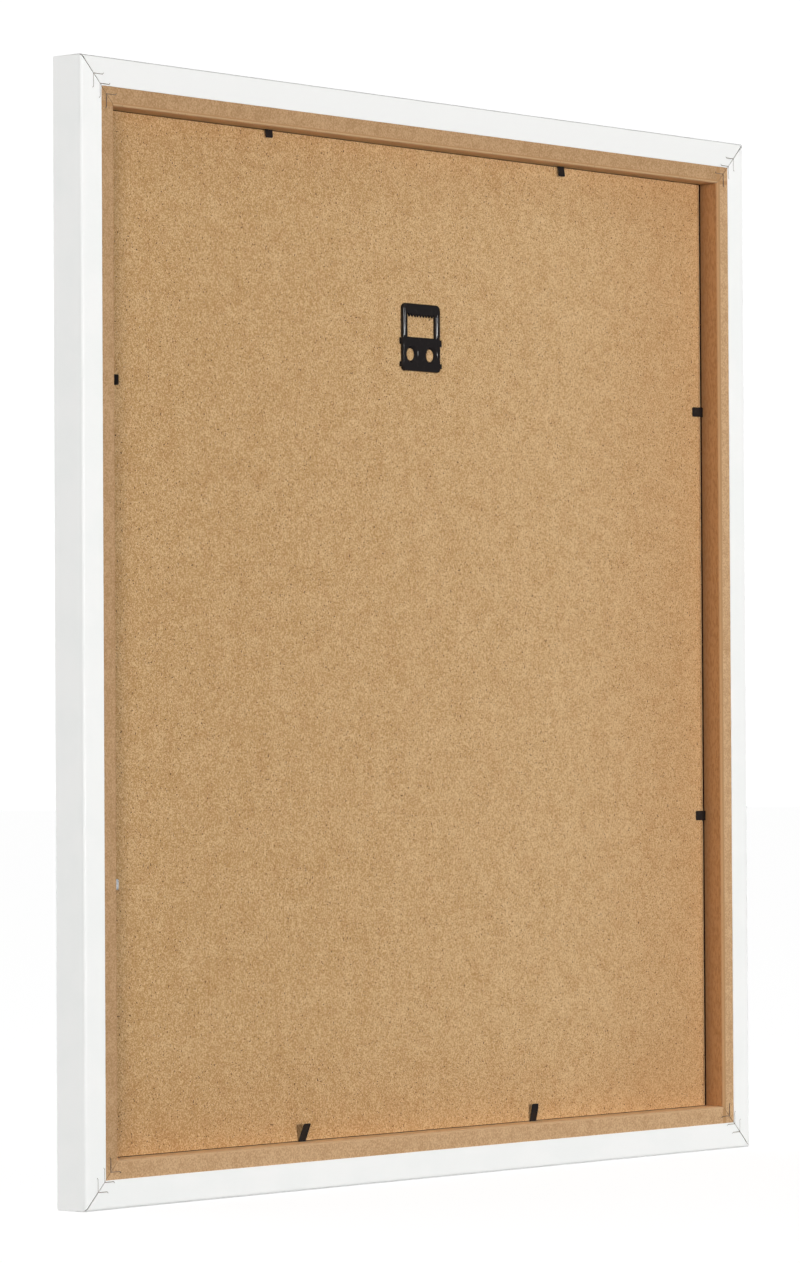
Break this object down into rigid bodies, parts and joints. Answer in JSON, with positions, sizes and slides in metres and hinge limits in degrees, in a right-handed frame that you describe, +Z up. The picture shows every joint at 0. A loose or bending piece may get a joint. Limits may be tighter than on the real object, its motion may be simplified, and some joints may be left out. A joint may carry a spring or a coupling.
{
  "type": "picture frame",
  "caption": "Wall-hung picture frame of white foil-wrapped MDF moulding with mitred corners, a back board held by bendable framing points, and a toothed hanger.",
  "frame": {"origin": "the middle notch of the hanger's teeth, where the wall nail carries the frame, at half the hanger's sheet thickness", "axes": "+Z up, +Y to the wall behind the frame, +X to the right as seen from the picture side"},
  "size_m": [0.566, 0.021, 0.594],
  "materials": {
    "white_foil": "satin white wrap",
    "bare_mdf": "bare milled MDF",
    "fibreboard": "bare pressed fibreboard with dark flecks",
    "kraft_card": "plain brown card",
    "black_steel": "black, half gloss",
    "wedge_steel": "dull steel strip",
    "clear_glass": "clear polished"
  },
  "bodies": {
    "frame": {"rail_left": "bare_mdf", "rail_top": "bare_mdf", "rail_right": "bare_mdf", "rail_bottom": "bare_mdf", "foil_left": "white_foil", "foil_top": "white_foil", "foil_right": "white_foil", "foil_bottom": "white_foil", "wedge_bottom_left_1": "wedge_steel", "wedge_bottom_left_2": "wedge_steel", "wedge_bottom_left_3": "wedge_steel", "wedge_top_left_1": "wedge_steel", "wedge_top_left_2": "wedge_steel", "wedge_top_left_3": "wedge_steel", "wedge_top_right_1": "wedge_steel", "wedge_top_right_2": "wedge_steel", "wedge_top_right_3": "wedge_steel", "wedge_bottom_right_1": "wedge_steel", "wedge_bottom_right_2": "wedge_steel", "wedge_bottom_right_3": "wedge_steel", "point_left_lower_tang": "black_steel", "point_left_upper_tang": "black_steel", "point_top_left_tang": "black_steel", "point_top_right_tang": "black_steel", "point_right_upper_tang": "black_steel", "point_right_lower_tang": "black_steel", "point_bottom_right_tang": "black_steel", "point_bottom_left_tang": "black_steel", "back_board": "fibreboard", "insert_card": "kraft_card", "glazing_pane": "clear_glass", "hanger": "black_steel"},
    "point_left_lower": {"point_left_lower_blade": "black_steel"},
    "point_left_upper": {"point_left_upper_blade": "black_steel"},
    "point_top_left": {"point_top_left_blade": "black_steel"},
    "point_top_right": {"point_top_right_blade": "black_steel"},
    "point_right_upper": {"point_right_upper_blade": "black_steel"},
    "point_right_lower": {"point_right_lower_blade": "black_steel"},
    "point_bottom_right": {"point_bottom_right_blade": "black_steel"},
    "point_bottom_left": {"point_bottom_left_blade": "black_steel"}
  },
  "joints": [
    {"name": "left_lower_bend", "type": "hinge", "parent": "frame", "child": "point_left_lower", "pos_m": [-0.2575, -0.00145, -0.281], "axis": [0, 0, 1], "range_deg": [0, 90]},
    {"name": "left_upper_bend", "type": "hinge", "parent": "frame", "child": "point_left_upper", "pos_m": [-0.2575, -0.00145, -0.043], "axis": [0, 0, 1], "range_deg": [0, 90]},
    {"name": "top_left_bend", "type": "hinge", "parent": "frame", "child": "point_top_left", "pos_m": [-0.1254, -0.00145, 0.0915], "axis": [1, 0, 0], "range_deg": [-12, 78]},
    {"name": "top_right_bend", "type": "hinge", "parent": "frame", "child": "point_top_right", "pos_m": [0.125, -0.00145, 0.0915], "axis": [1, 0, 0], "range_deg": [-10, 80]},
    {"name": "right_upper_bend", "type": "hinge", "parent": "frame", "child": "point_right_upper", "pos_m": [0.2575, -0.00145, -0.049], "axis": [0, 0, -1], "range_deg": [-38, 52]},
    {"name": "right_lower_bend", "type": "hinge", "parent": "frame", "child": "point_right_lower", "pos_m": [0.2575, -0.00145, -0.3105], "axis": [0, 0, -1], "range_deg": [-18, 72]},
    {"name": "bottom_right_bend", "type": "hinge", "parent": "frame", "child": "point_bottom_right", "pos_m": [0.102, -0.00145, -0.4515], "axis": [-1, 0, 0], "range_deg": [-23, 67]},
    {"name": "bottom_left_bend", "type": "hinge", "parent": "frame", "child": "point_bottom_left", "pos_m": [-0.0952, -0.00145, -0.4515], "axis": [-1, 0, 0], "range_deg": [-12, 78]}
  ]
}
